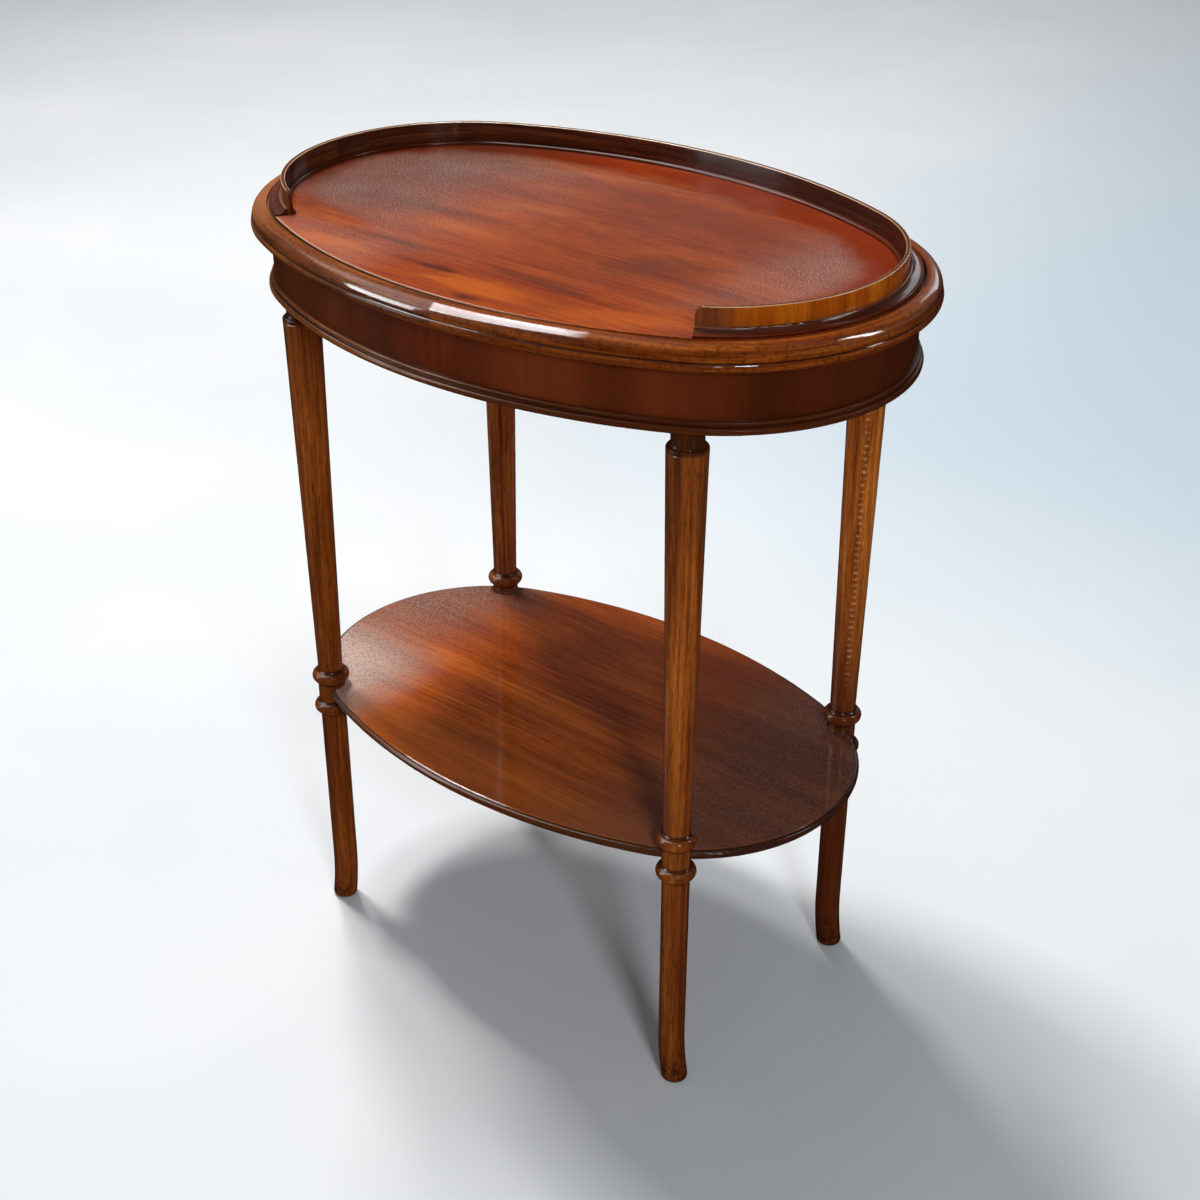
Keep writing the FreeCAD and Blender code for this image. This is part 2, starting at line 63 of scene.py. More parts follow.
# %% Graph
class Graph:
    def __init__(self, tree):
        self.tree = tree

    def add(self, kind, values=None, **settings):
        made = self.tree.nodes.new("ShaderNode" + kind)
        for name, value in settings.items():
            setattr(made, name, value)
        for name, value in (values or {}).items():
            self.feed(made.inputs[name], value)
        return made

    def feed(self, socket, value):
        if isinstance(value, bpy.types.NodeSocket):
            self.tree.links.new(value, socket)
        else:
            socket.default_value = value

    def math(self, operation, a, b=0.0):
        return self.add("Math", {0: a, 1: b}, operation=operation).outputs[0]

    def plus(self, a, b):
        return self.math("ADD", a, b)

    def minus(self, a, b):
        return self.math("SUBTRACT", a, b)

    def times(self, a, b):
        return self.math("MULTIPLY", a, b)

    def larger(self, a, b):
        return self.math("MAXIMUM", a, b)

    def apart(self, a, b):
        return self.math("ABSOLUTE", self.minus(a, b))

    def axes(self, vector):
        return self.add("SeparateXYZ", {0: vector}).outputs


print("Graph can:", ", ".join(name for name in vars(Graph) if not name.startswith("_")))

# %% [markdown]
# The second half of the helper makes patterns and masks. remap() turns one range
# of a value into another, and smooth() does it with soft ends. mix() lays one
# colour over another, by as much as the mask says.

# %% Patterns and masks
class Painter(Graph):
    def stretch(self, vector, scale, shift=(0, 0, 0), turn=(0, 0, 0)):
        values = {"Vector": vector, "Scale": scale, "Location": shift, "Rotation": turn}
        return self.add("Mapping", values).outputs[0]

    def noise(self, vector, scale=1.0, detail=2.0, rough=0.5, swirl=0.0):
        values = {"Vector": vector, "Scale": scale, "Detail": detail,
                  "Roughness": rough, "Distortion": swirl}
        return self.add("TexNoise", values).outputs[0]

    def remap(self, value, low, high, to_low=0.0, to_high=1.0, **settings):
        values = {0: value, 1: low, 2: high, 3: to_low, 4: to_high}
        return self.add("MapRange", values, **settings).outputs[0]

    def smooth(self, value, low, high, to_low=0.0, to_high=1.0):
        return self.remap(value, low, high, to_low, to_high, interpolation_type="SMOOTHSTEP")

    def mix(self, factor, a, b, blend="MIX"):
        made = self.add("Mix", data_type="RGBA", blend_type=blend)
        self.feed(made.inputs[0], factor)
        self.feed(made.inputs[6], a)
        self.feed(made.inputs[7], b)
        return made.outputs[2]

    def ramp(self, value, stops):
        made = self.add("ValToRGB", {0: value})
        elements = made.color_ramp.elements
        while len(elements) < len(stops):
            elements.new(0.5)
        for element, (place, colour) in zip(elements, stops):
            element.position = place
            element.color = colour
        return made.outputs[0]


print("Painter adds:", ", ".join(name for name in vars(Painter) if not name.startswith("_")))

# %% [markdown]
# Photographs give colours as 0 to 255 numbers on a curve. Shaders need straight
# light values, so rgb() takes the curve off.

# %% rgb
def rgb(red, green, blue):
    straight = []
    for value in (red, green, blue):
        value = value / 255
        straight.append(value / 12.92 if value <= 0.04045 else ((value + 0.055) / 1.055) ** 2.4)
    return (*straight, 1.0)


print("mid mahogany in straight light:", [round(v, 3) for v in rgb(120, 52, 24)])

# %% [markdown]
# An effect that several materials share is a node group. begin_group() makes an
# empty one with the named inputs and outputs, and end_group() joins its results.
# The sorts of value are "Vector" for places and "Float" for masks and numbers.

# %% Groups
def begin_group(name, inputs, outputs):
    tree = bpy.data.node_groups.new(name, "ShaderNodeTree")
    for label, kind in inputs.items():
        tree.interface.new_socket(label, in_out="INPUT", socket_type="NodeSocket" + kind)
    for label, kind in outputs.items():
        tree.interface.new_socket(label, in_out="OUTPUT", socket_type="NodeSocket" + kind)
    g = Painter(tree)
    return g, tree.nodes.new("NodeGroupInput").outputs


def end_group(g, **results):
    end = g.tree.nodes.new("NodeGroupOutput")
    for label, value in results.items():
        g.feed(end.inputs[label], value)
    print(g.tree.name, "has", len(g.tree.nodes), "nodes and gives", ", ".join(results))
    return g.tree


def use_group(g, tree, **values):
    made = g.add("Group", node_tree=tree)
    for label, value in values.items():
        g.feed(made.inputs[label], value)
    return made.outputs


print("groups so far:", len(bpy.data.node_groups))

# %% [markdown]
# ## Following the oval
#
# This group turns a point's place into three numbers: how far round the oval it
# is, how far outside the panel's edge it is, and its height. A point beside an
# end arc is measured from that arc's centre, and any other point from the
# centre of the long side's arc.

# %% The oval group
def make_oval_group():
    outputs = {"Along": "Vector", "Run": "Float", "Offset": "Float", "Height": "Float"}
    g, given = begin_group("Round the oval", {"Position": "Vector"}, outputs)
    x, y, z = g.axes(given["Position"])
    ax = g.math("ABSOLUTE", x)
    ay = g.math("ABSOLUTE", y)
    from_end = g.minus(ax, END_X)
    from_side = g.plus(ay, SIDE_Y)
    beside_end = g.math("LESS_THAN", ay, g.times(from_end, math.tan(END_ANGLE)))
    end_length = g.math("SQRT", g.plus(g.times(from_end, from_end), g.times(ay, ay)))
    side_length = g.math("SQRT", g.plus(g.times(ax, ax), g.times(from_side, from_side)))
    end_offset = g.minus(end_length, END_RADIUS)
    side_offset = g.minus(side_length, SIDE_RADIUS)
    end_run = g.times(g.math("ARCTAN2", ay, from_end), END_RADIUS)
    side_turn = g.minus(g.math("ARCTAN2", from_side, ax), END_ANGLE)
    side_run = g.plus(g.times(side_turn, SIDE_RADIUS), END_RADIUS * END_ANGLE)
    offset = g.remap(beside_end, 0.0, 1.0, side_offset, end_offset)
    quarter_run = g.remap(beside_end, 0.0, 1.0, side_run, end_run)
    far_run = g.minus(2 * QUARTER, quarter_run)
    half_run = g.remap(g.math("LESS_THAN", x, 0.0), 0.0, 1.0, quarter_run, far_run)
    run = g.times(half_run, g.math("SIGN", y))
    along = g.add("CombineXYZ", {0: run, 1: offset, 2: z}).outputs[0]
    return end_group(g, Along=along, Run=run, Offset=offset, Height=z)


oval_group = make_oval_group()

# %% [markdown]
# ## Grain
#
# Mahogany shows three things along its length: slow changes of tone a few
# centimetres wide, streaks of a few millimetres, and short dark pores. All are
# noise that is stretched along the first axis. A picture of wood could be wrapped
# round each piece instead, but it would show seams, and noise has none. A slow
# warp bends the grain a little, because no tree is straight. Figure is tone and
# streaks together, and the input called Streaks is their share in it.

# %% The grain group
def make_grain_group():
    inputs = {"Vector": "Vector", "Bend": "Float", "Streaks": "Float"}
    g, given = begin_group("Mahogany grain", inputs, {"Figure": "Float", "Pore": "Float"})
    vector, streaks = given["Vector"], given["Streaks"]
    values = {"Vector": g.stretch(vector, (2.2, 5.0, 5.0)), "Scale": 1.0, "Detail": 1.0}
    slow = g.add("TexNoise", values).outputs[1]
    half = (0.5, 0.5, 0.5)
    centred = g.add("VectorMath", {0: slow, 1: half}, operation="SUBTRACT").outputs[0]
    values = {0: centred, "Scale": given["Bend"]}
    pushed = g.add("VectorMath", values, operation="SCALE").outputs[0]
    bent = g.add("VectorMath", {0: vector, 1: pushed}, operation="ADD").outputs[0]
    tone = g.noise(g.stretch(bent, (2.0, 34.0, 34.0)), detail=3.0, rough=0.55)
    streak = g.noise(g.stretch(bent, (9.0, 260.0, 260.0)), detail=4.0, rough=0.62)
    pore = g.noise(g.stretch(bent, (75.0, 1500.0, 1500.0)), detail=1.0)
    tone_part = g.times(g.remap(tone, 0.3, 0.7), g.minus(1.0, streaks))
    streak_part = g.times(g.remap(streak, 0.3, 0.7), streaks)
    return end_group(g, Figure=g.plus(tone_part, streak_part), Pore=g.smooth(pore, 0.56, 0.68))


grain_group = make_grain_group()

# %% [markdown]
# ## French polish
#
# Old polish is glossy but never perfect, and an even coat would look like
# plastic. Clouds of slightly duller polish and a fine speckle change how much
# light it gives back, which is the sheen. Its surface has slow waves from the
# rubbing, a fine orange peel, and pores that it never quite filled. Dust is a
# pattern of grains, for the boards that lie flat.

# %% The polish group
def make_polish_group():
    outputs = {"Cloud": "Float", "Sheen": "Float", "Dust": "Float", "Height": "Float"}
    g, given = begin_group("French polish", {"Vector": "Vector", "Pore": "Float"}, outputs)
    vector = given["Vector"]
    cloud = g.remap(g.noise(vector, scale=16.0, detail=4.0, rough=0.6), 0.3, 0.7)
    peel = g.noise(vector, scale=780.0, detail=2.0, rough=0.7)
    dust = g.noise(vector, scale=640.0, detail=2.0, rough=0.7)
    waves = g.noise(vector, scale=34.0, detail=2.0)
    sheen = g.plus(g.times(cloud, 0.6), g.times(g.remap(peel, 0.3, 0.7), 0.4))
    height = g.plus(g.times(waves, 1.1), g.times(peel, 0.05))
    height = g.minus(height, g.times(given["Pore"], 0.06))
    return end_group(g, Cloud=cloud, Sheen=sheen, Dust=dust, Height=height)


polish_group = make_polish_group()

# %% [markdown]
# ## One recipe for every polished piece
#
# start_wood() begins a material: it places the grain along X, up a leg or round
# the oval, and joins the groups. The seed moves the pattern, so that no two
# pieces are cut from the same place in the log.

# %% start_wood
UPRIGHT = (0, math.pi / 2, 0)
SEED_STEP = (1.37, 0.71, 0.43)


def start_wood(name, lie, seed, bend=0.02, streaks=0.5):
    material = bpy.data.materials.new(name)
    material.use_nodes = True
    g = Painter(material.node_tree)
    place = g.add("TexCoord").outputs["Object"]
    oval = use_group(g, oval_group, Position=place)
    shift = [seed * step for step in SEED_STEP]
    start = oval["Along"] if lie == "oval" else place
    turn = UPRIGHT if lie == "upright" else (0, 0, 0)
    vector = g.stretch(start, (1, 1, 1), shift=shift, turn=turn)
    grain = use_group(g, grain_group, Vector=vector, Bend=bend, Streaks=streaks)
    polish = use_group(g, polish_group, Vector=place, Pore=grain["Pore"])
    return material, g, {"place": place, "oval": oval, "grain": grain, "polish": polish}


print("seed 1 moves the grain by", SEED_STEP)

# %% [markdown]
# grain_colour() paints the grain. A ramp from dark to light follows the figure,
# and the pores darken it. The stops say how much of the figure is dark wood.

# %% grain_colour
DARK_STOP, MIDDLE_STOP, LIGHT_STOP = 0.12, 0.5, 0.9


def grain_colour(g, grain, dark, middle, light, pores=0.45):
    stops = [(DARK_STOP, dark), (MIDDLE_STOP, middle), (LIGHT_STOP, light)]
    colour = g.ramp(grain["Figure"], stops)
    return g.mix(g.times(grain["Pore"], pores), colour, dark, "MULTIPLY")


print("wood is darkest below", DARK_STOP, "and lightest above", LIGHT_STOP)

# %% [markdown]
# finish_wood() puts the colour, the sheen and the bump on the shader. One layer
# could do both wood and polish, but then the grain would tint what it mirrors.
# So the coat is the polish, and its weight says how much of the room it gives
# back. The wood below it hardly shines.

# %% finish_wood
WOOD_SPECULAR = 0.03
WOOD_TINT = (1.0, 0.62, 0.38, 1.0)
POLISH_IOR = 1.5


def finish_wood(material, g, parts, colour, coat=(0.35, 0.6), coat_rough=0.06,
                bump=0.12, rough=(0.34, 0.5), gloss=1.0):
    shader = g.tree.nodes["Principled BSDF"]
    polish = parts["polish"]
    values = {"Height": polish["Height"], "Distance": 0.001, "Strength": bump}
    normal = g.add("Bump", values).outputs[0]
    weight = g.remap(polish["Sheen"], 0.2, 0.8, coat[0], coat[1])
    g.feed(shader.inputs["Base Color"], colour)
    g.feed(shader.inputs["Roughness"], g.remap(polish["Cloud"], 0.0, 1.0, rough[1], rough[0]))
    g.feed(shader.inputs["Normal"], normal)
    g.feed(shader.inputs["Coat Normal"], normal)
    g.feed(shader.inputs["Coat Weight"], g.times(weight, gloss))
    shader.inputs["Specular IOR Level"].default_value = WOOD_SPECULAR
    shader.inputs["Specular Tint"].default_value = WOOD_TINT
    shader.inputs["Coat Roughness"].default_value = coat_rough
    shader.inputs["Coat IOR"].default_value = POLISH_IOR
    return material


print("the wood's own shine is", WOOD_SPECULAR, "under a polish of index", POLISH_IOR)

# %% [markdown]
# dress() puts one material on the pieces that are named. The pieces keep the
# names of the CAD model, so the list reads like a list of the table's parts.

# %% dress
def dress(names, material):
    for name in names:
        slots = nodes[name].data.materials
        slots.clear()
        slots.append(material)
    print(material.name, "on", ", ".join(names))


print("pieces to dress:", len(nodes))

# %% [markdown]
# ## The top panel
#
# The panel is figured veneer, the brightest wood on the table. The eye first finds a few long light
# and dark marks on it. Noise alone could make the figure, but it would put the marks elsewhere, so
# these are listed one by one. Each row below is one of them: x, y, half length and half width in
# metres, the turn in degrees and the strength.

# %% Marks on the panel
LIGHT_MARKS = [
    (-0.128, -0.150, 0.060, 0.016, 6, 0.8),
    (0.030, -0.154, 0.075, 0.018, 4, 0.8),
    (0.150, -0.135, 0.080, 0.022, 24, 0.55),
    (-0.060, -0.060, 0.110, 0.020, 8, 0.4),
]
DARK_MARKS = [
    (-0.095, -0.118, 0.080, 0.006, 2, 0.75),
    (-0.022, -0.143, 0.024, 0.008, 6, 0.9),
    (0.036, -0.176, 0.016, 0.007, 0, 0.8),
    (0.060, -0.118, 0.110, 0.007, -4, 0.6),
    (0.108, -0.040, 0.060, 0.030, 30, 0.6),
    (-0.120, -0.040, 0.120, 0.008, 6, 0.5),
]
print("marks:", len(LIGHT_MARKS), "light and", len(DARK_MARKS), "dark")

# %% [markdown]
# mark() lays one such patch. Its outline is an ellipse made ragged by noise
# that runs with the patch. Three layers of slow noise make the rest of the
# figure: wide flames, dark smoky streaks and fine lines.

# %% The figure of the panel
PANEL_TOP = 0.7
PANEL_GRAIN = (rgb(128, 42, 5), rgb(161, 64, 8), rgb(188, 86, 13))


def mark(g, place, x, y, length, width, turn, strength):
    turn = math.radians(turn)
    values = {"Vector": place, "Location": (x, y, PANEL_TOP), "Rotation": (0, 0, turn),
              "Scale": (length, width, 1)}
    local = g.add("Mapping", values, vector_type="TEXTURE").outputs[0]
    away = g.add("VectorMath", {0: local}, operation="LENGTH").outputs["Value"]
    with_patch = g.stretch(place, (14.0, 90.0, 90.0), turn=(0, 0, -turn))
    ragged = g.noise(with_patch, detail=4.0, rough=0.6)
    away = g.plus(away, g.remap(ragged, 0.25, 0.75, -0.45, 0.45))
    return g.smooth(away, 1.05, 0.25, 0.0, strength)


def panel_figure(g, place, colour):
    flame = g.stretch(place, (3.6, 13.0, 13.0), turn=(0, 0, 0.16))
    smoke = g.stretch(place, (5.0, 34.0, 34.0), turn=(0, 0, 0.2))
    lines = g.stretch(place, (16.0, 420.0, 420.0), turn=(0, 0, 0.18))
    flame = g.noise(flame, detail=3.0, rough=0.55, swirl=0.9)
    smoke = g.noise(smoke, detail=5.0, rough=0.6, swirl=0.6)
    lines = g.noise(lines, detail=2.0)
    specks = g.noise(place, scale=760.0, detail=2.0, rough=0.7)
    colour = g.mix(g.smooth(flame, 0.48, 0.34, 0.0, 0.5), colour, rgb(196, 96, 14))
    colour = g.mix(g.smooth(flame, 0.52, 0.7, 0.0, 0.6), colour, rgb(124, 46, 10))
    colour = g.mix(g.smooth(smoke, 0.56, 0.72, 0.0, 0.5), colour, rgb(88, 32, 10))
    colour = g.mix(g.smooth(lines, 0.48, 0.66, 0.0, 0.35), colour, rgb(90, 30, 8))
    for marks, tone in ((LIGHT_MARKS, rgb(196, 92, 14)), (DARK_MARKS, rgb(84, 30, 10))):
        for row in marks:
            colour = g.mix(mark(g, place, *row), colour, tone)
    return g.mix(g.smooth(specks, 0.48, 0.66, 0.0, 0.45), colour, rgb(92, 34, 10))


print("panel grain, dark to light:", [[round(v, 3) for v in tone[:3]] for tone in PANEL_GRAIN])

# %% [markdown]
# The panel carries a pale grey haze, a painted reflection of the room in its polish. The haze is a
# mask: most at the ends and front left, broken by clouds and by a speckle like dust. It keeps away
# from the edge, and depth is how far in a point is, with a limit that wanders.

# %% Painted reflection on the panel
HAZE = rgb(176, 146, 136)


def panel_depth(g, parts, x):
    wander = g.noise(parts["place"], scale=11.0, detail=4.0, rough=0.6)
    wander = g.remap(wander, 0.3, 0.7, -0.014, 0.014)
    depth = g.plus(parts["oval"]["Offset"], wander)
    return g.plus(depth, g.smooth(x, -0.15, -0.25, 0.0, -0.02))


def panel_haze(g, parts, x, y, depth):
    at_left = g.smooth(x, 0.02, -0.19, 0.0, 0.22)
    at_right = g.times(g.smooth(x, 0.13, 0.22, 0.0, 0.26), g.smooth(y, -0.10, 0.02, 0.4, 1.0))
    at_back = g.smooth(y, -0.13, 0.06, 0.02, 0.04)
    haze = g.plus(g.plus(at_left, at_right), at_back)
    haze = g.times(haze, g.smooth(depth, -0.040, -0.068))
    haze = g.times(haze, g.remap(parts["polish"]["Cloud"], 0.0, 1.0, 0.7, 1.3))
    front_left = g.times(g.smooth(x, -0.04, -0.10), g.smooth(y, -0.10, -0.14, 0.0, 0.2))
    dust = g.smooth(parts["polish"]["Dust"], 0.42, 0.62, 0.2, 2.0)
    return g.times(g.plus(haze, front_left), dust)


print("the haze has the colour", [round(v, 3) for v in HAZE[:3]])

# %% [markdown]
# Along the foot of the gallery the panel is painted redder and darker, a painted shade and
# reflection of the gallery. It is browner in the middle and at the back of its left end. Along the
# open front its arris is painted pale, a painted highlight.
# The gloss mask keeps the middle and the edge from shining as much as the right.

# %% Top panel
def make_panel():
    material, g, parts = start_wood("Figured veneer", "long", 3.0, bend=0.10, streaks=0.45)
    x, y = g.axes(parts["place"])[:2]
    depth = panel_depth(g, parts, x)
    colour = grain_colour(g, parts["grain"], *PANEL_GRAIN, pores=0.5)
    colour = panel_figure(g, parts["place"], colour)
    # painted shade and reflection of the gallery along its foot
    by_gallery = g.times(g.smooth(depth, -0.064, -0.040), g.smooth(y, -0.08, 0.02))
    back_left = g.times(g.smooth(x, -0.04, -0.2), g.smooth(y, -0.13, -0.05, 0.0, 0.8))
    middle = g.times(g.smooth(x, -0.09, 0.01), g.smooth(y, -0.13, -0.06, 0.0, 0.3))
    colour = g.mix(g.times(by_gallery, 0.7), colour, rgb(126, 30, 2))
    colour = g.mix(back_left, colour, rgb(70, 28, 12))
    colour = g.mix(middle, colour, rgb(96, 38, 12))
    # painted reflection: the grey haze laid over the wood
    colour = g.mix(panel_haze(g, parts, x, y, depth), colour, HAZE)
    # painted highlight along the arris of the open front
    arris = g.smooth(parts["oval"]["Offset"], -0.0018, -0.0006)
    arris = g.times(arris, g.smooth(x, 0.16, 0.02, 0.0, 0.75))
    colour = g.mix(g.times(arris, g.smooth(y, -0.03, -0.09)), colour, rgb(226, 178, 150))
    gloss = g.larger(g.smooth(y, -0.12, 0.05, 0.4, 0.55), g.smooth(x, 0.05, 0.22, 0.0, 0.9))
    gloss = g.times(gloss, g.remap(by_gallery, 0.0, 1.0, 1.0, 0.3))
    return finish_wood(material, g, parts, colour, coat=(0.75, 1.0), coat_rough=0.07,
                       bump=0.08, gloss=gloss)


dress(["top_veneer"], make_panel())

# %% [markdown]
# ## The rim
#
# The rim is four lengths of solid wood, and all four are marked in the same way, so the marks are a
# group. The quirk beside the panel and the crease above the bead are painted dark, a painted shade.
# It could be modelled as a film of dirt. A mask that asks for the height and the offset is simpler
# and runs all round the oval. The far left of the crown is painted paler, a painted highlight.
# Sleeves have rubbed the crown dull at the front right and on top at the front left, and the bead's
# polish is thin except at the front right. The gloss mask says so.

# %% Rim wear and painted light
RIM_CREASE_HEIGHT = 0.6877


def make_rim_wear():
    inputs = {"Position": "Vector", "Offset": "Float", "Height": "Float"}
    outputs = {"Mottle": "Float", "Quirk": "Float", "Crease": "Float",
               "Faded": "Float", "Gloss": "Float"}
    g, given = begin_group("Rim wear", inputs, outputs)
    place, height = given["Position"], given["Height"]
    x = g.axes(place)[0]
    mottle = g.noise(place, scale=240.0, detail=4.0, rough=0.65)
    mottle = g.smooth(mottle, 0.48, 0.68, 0.0, 0.65)
    # masks for the painted shade in the quirk and the crease
    quirk = g.smooth(given["Offset"], 0.0030, 0.0019)
    crease = g.smooth(g.apart(height, RIM_CREASE_HEIGHT), 0.0012, 0.0003)
    crown = g.smooth(height, 0.6870, 0.6878)
    front_right = g.times(g.smooth(x, 0.137, 0.153), g.smooth(x, 0.285, 0.262))
    flat_top = g.times(g.smooth(height, 0.6925, 0.6938), g.smooth(x, 0.025, 0.022))
    rubbed = g.larger(front_right, g.times(flat_top, 0.92))
    rubbed = g.larger(rubbed, g.smooth(height, 0.6982, 0.6994, 0.0, 0.9))
    off_middle = g.plus(g.smooth(x, 0.15, 0.10, 0.0, 0.9), g.smooth(x, 0.25, 0.28, 0.0, 0.7))
    dull = g.plus(g.times(crown, rubbed), g.times(g.minus(1.0, crown), off_middle))
    return end_group(g, Mottle=mottle, Quirk=quirk, Crease=g.times(crease, 0.8),
                     Faded=g.smooth(x, -0.18, -0.26, 0.0, 0.45), Gloss=g.minus(1.0, dull))


rim_wear = make_rim_wear()

# %% [markdown]
# Each length of the rim was cut from its own place in the log, so it has its own
# seed and its own dark, middle and light tone. One material could serve all four,
# but then no joint would show. The grain follows the oval.

# %% Rim
def make_rim(corner, seed, dark, middle, light):
    material, g, parts = start_wood("Rim " + corner, "oval", seed, bend=0.03, streaks=0.6)
    wear = use_group(g, rim_wear, Position=parts["place"], Offset=parts["oval"]["Offset"],
                     Height=parts["oval"]["Height"])
    colour = grain_colour(g, parts["grain"], dark, middle, light)
    colour = g.mix(wear["Mottle"], colour, dark)
    # painted shade in the quirk and the crease
    colour = g.mix(wear["Quirk"], colour, rgb(20, 7, 3))
    colour = g.mix(wear["Crease"], colour, rgb(28, 10, 5))
    # painted highlight on the far left of the crown
    colour = g.mix(wear["Faded"], colour, rgb(186, 122, 78))
    return finish_wood(material, g, parts, colour, coat=(0.6, 1.0), coat_rough=0.05,
                       gloss=wear["Gloss"])


RIM_TONES = {
    "front_left": (11.0, rgb(62, 24, 8), rgb(126, 61, 19), rgb(180, 100, 38)),
    "front_right": (12.0, rgb(62, 22, 5), rgb(124, 54, 11), rgb(172, 90, 24)),
    "back_right": (13.0, rgb(60, 22, 5), rgb(118, 52, 12), rgb(162, 86, 24)),
    "back_left": (14.0, rgb(60, 22, 6), rgb(114, 52, 14), rgb(160, 86, 28)),
}
for corner, tones in RIM_TONES.items():
    dress(["rim_" + corner], make_rim(corner, *tones))

# %% [markdown]
# ## The gallery
#
# The strip is amber with upright grain outside, and nearly black-brown with
# grain along its length inside. The amber goes brown towards the right front
# end, and the left front end is dark.

# %% The gallery's two faces
OUTSIDE_GRAIN = (rgb(118, 46, 6), rgb(180, 83, 10), rgb(216, 114, 20))
INSIDE_GRAIN = (rgb(34, 12, 4), rgb(64, 24, 8), rgb(104, 50, 20))


def gallery_outside(g, parts):
    colour = grain_colour(g, parts["grain"], *OUTSIDE_GRAIN, pores=0.4)
    x, y = g.axes(parts["place"])[:2]
    near_right_end = g.smooth(parts["oval"]["Run"], -0.118, -0.150)
    right_end = g.times(near_right_end, g.math("GREATER_THAN", x, 0.0))
    left_end = g.times(g.smooth(x, -0.15, -0.22), g.smooth(y, 0.02, -0.02, 0.0, 0.8))
    colour = g.mix(g.times(right_end, 0.7), colour, rgb(92, 52, 38))
    return g.mix(left_end, colour, rgb(58, 28, 18))


def gallery_inside(g, parts):
    vector = g.stretch(parts["oval"]["Along"], (1, 1, 1), shift=(7.3, 2.1, 0.4))
    lengthwise = use_group(g, grain_group, Vector=vector, Bend=0.01, Streaks=0.6)
    return grain_colour(g, lengthwise, *INSIDE_GRAIN, pores=0.4)


print("outside, dark to light:", [[round(v, 3) for v in tone[:3]] for tone in OUTSIDE_GRAIN])

# %% [markdown]
# The two faces could be two materials, with the mesh sorted face by face. One
# material that asks for the offset from the panel's edge does it without, and
# misses no face. Hands have worn both arrises of the upper edge pale.

# %% Gallery
GALLERY_MIDDLE_OFFSET = -0.0125
GALLERY_ARRIS_OFFSETS = (-0.0114, -0.0146)
GALLERY_ROUNDING = (0.7186, 0.7192)


def make_gallery():
    material, g, parts = start_wood("Gallery strip", "upright", 21.0, bend=0.01, streaks=0.35)
    offset = parts["oval"]["Offset"]
    is_outside = g.math("GREATER_THAN", offset, GALLERY_MIDDLE_OFFSET)
    colour = g.mix(is_outside, gallery_inside(g, parts), gallery_outside(g, parts))
    top = g.smooth(parts["oval"]["Height"], *GALLERY_ROUNDING)
    colour = g.mix(g.times(top, 0.8), colour, rgb(88, 42, 16))
    for arris in GALLERY_ARRIS_OFFSETS:
        near = g.smooth(g.apart(offset, arris), 0.0007, 0.0002)
        colour = g.mix(g.times(g.times(near, top), 0.75), colour, rgb(214, 170, 126))
    return finish_wood(material, g, parts, colour)


dress(["gallery_strip_left", "gallery_strip_right"], make_gallery())

# %% [markdown]
# Both mouldings at its foot are dark. The upper edge of the cove is painted pale, a painted
# highlight, and its polish is duller there. The bead on the inside never gets much polish. They
# share a recipe, and the shine is the number that differs.

# %% Gallery mouldings
COVE_SHOULDER = (0.7046, 0.7053)
MOULDING_GRAIN = (rgb(40, 12, 4), rgb(78, 26, 8), rgb(112, 44, 16))


def make_moulding(name, seed, shine):
    material, g, parts = start_wood(name, "oval", seed)
    colour = grain_colour(g, parts["grain"], *MOULDING_GRAIN)
    upper = g.smooth(parts["oval"]["Height"], *COVE_SHOULDER)
    # painted highlight on the upper edge of the cove
    colour = g.mix(g.times(upper, 0.6), colour, rgb(150, 96, 66))
    gloss = g.remap(upper, 0.0, 1.0, shine, shine / 4)
    return finish_wood(material, g, parts, colour, coat=(0.6, 1.0), coat_rough=0.1, gloss=gloss)


dress(["gallery_cove"], make_moulding("Gallery cove", 24.0, 0.5))
dress(["gallery_bead"], make_moulding("Gallery bead", 26.0, 0.2))

# %% [markdown]
# ## The frieze
#
# The frieze veneer was laid with its grain upright, in leaves a hand wide, and
# some leaves are darker than the next. Each leaf could be a piece of its own.
# Noise that changes only along the oval gives the same upright bands without new seams. The veneer
# is warmer at the left. Right of the middle it is painted paler and greyer, a painted sheen, and
# its right end is painted darker, a painted shade.

# %% Frieze
FRIEZE_GRAIN = (rgb(86, 30, 5), rgb(102, 37, 7), rgb(118, 47, 11))


def make_frieze():
    material, g, parts = start_wood("Frieze veneer", "upright", 31.0, streaks=0.4)
    colour = grain_colour(g, parts["grain"], *FRIEZE_GRAIN, pores=0.35)
    leaf = g.noise(g.stretch(parts["oval"]["Along"], (11.0, 0.0, 0.0)), detail=1.0)
    x = g.axes(parts["place"])[0]
    # painted sheen: paler and greyer right of the middle
    colour = g.mix(g.smooth(x, 0.0, 0.1, 0.0, 0.45), colour, rgb(132, 60, 28))
    colour = g.mix(g.smooth(leaf, 0.45, 0.65, 0.0, 0.5), colour, rgb(62, 20, 6))
    # painted shade: darker at the right end
    colour = g.mix(g.smooth(x, 0.17, 0.26, 0.0, 0.65), colour, rgb(46, 14, 4))
    colour = g.mix(g.smooth(x, -0.02, -0.22, 0.0, 0.6), colour, rgb(106, 50, 8))
    gloss = g.smooth(x, -0.15, 0.14, 0.3, 1.8)
    return finish_wood(material, g, parts, colour, coat=(0.2, 0.4), gloss=gloss)


dress(["frieze_veneer_front", "frieze_veneer_back"], make_frieze())

# %% [markdown]
# The double bead below it is golden at the left and brown at the right, and its groove is painted
# dark, a painted shade. All four lengths share one group for that.

# %% Apron wear and painted shade
APRON_GROOVE_HEIGHT = 0.6347


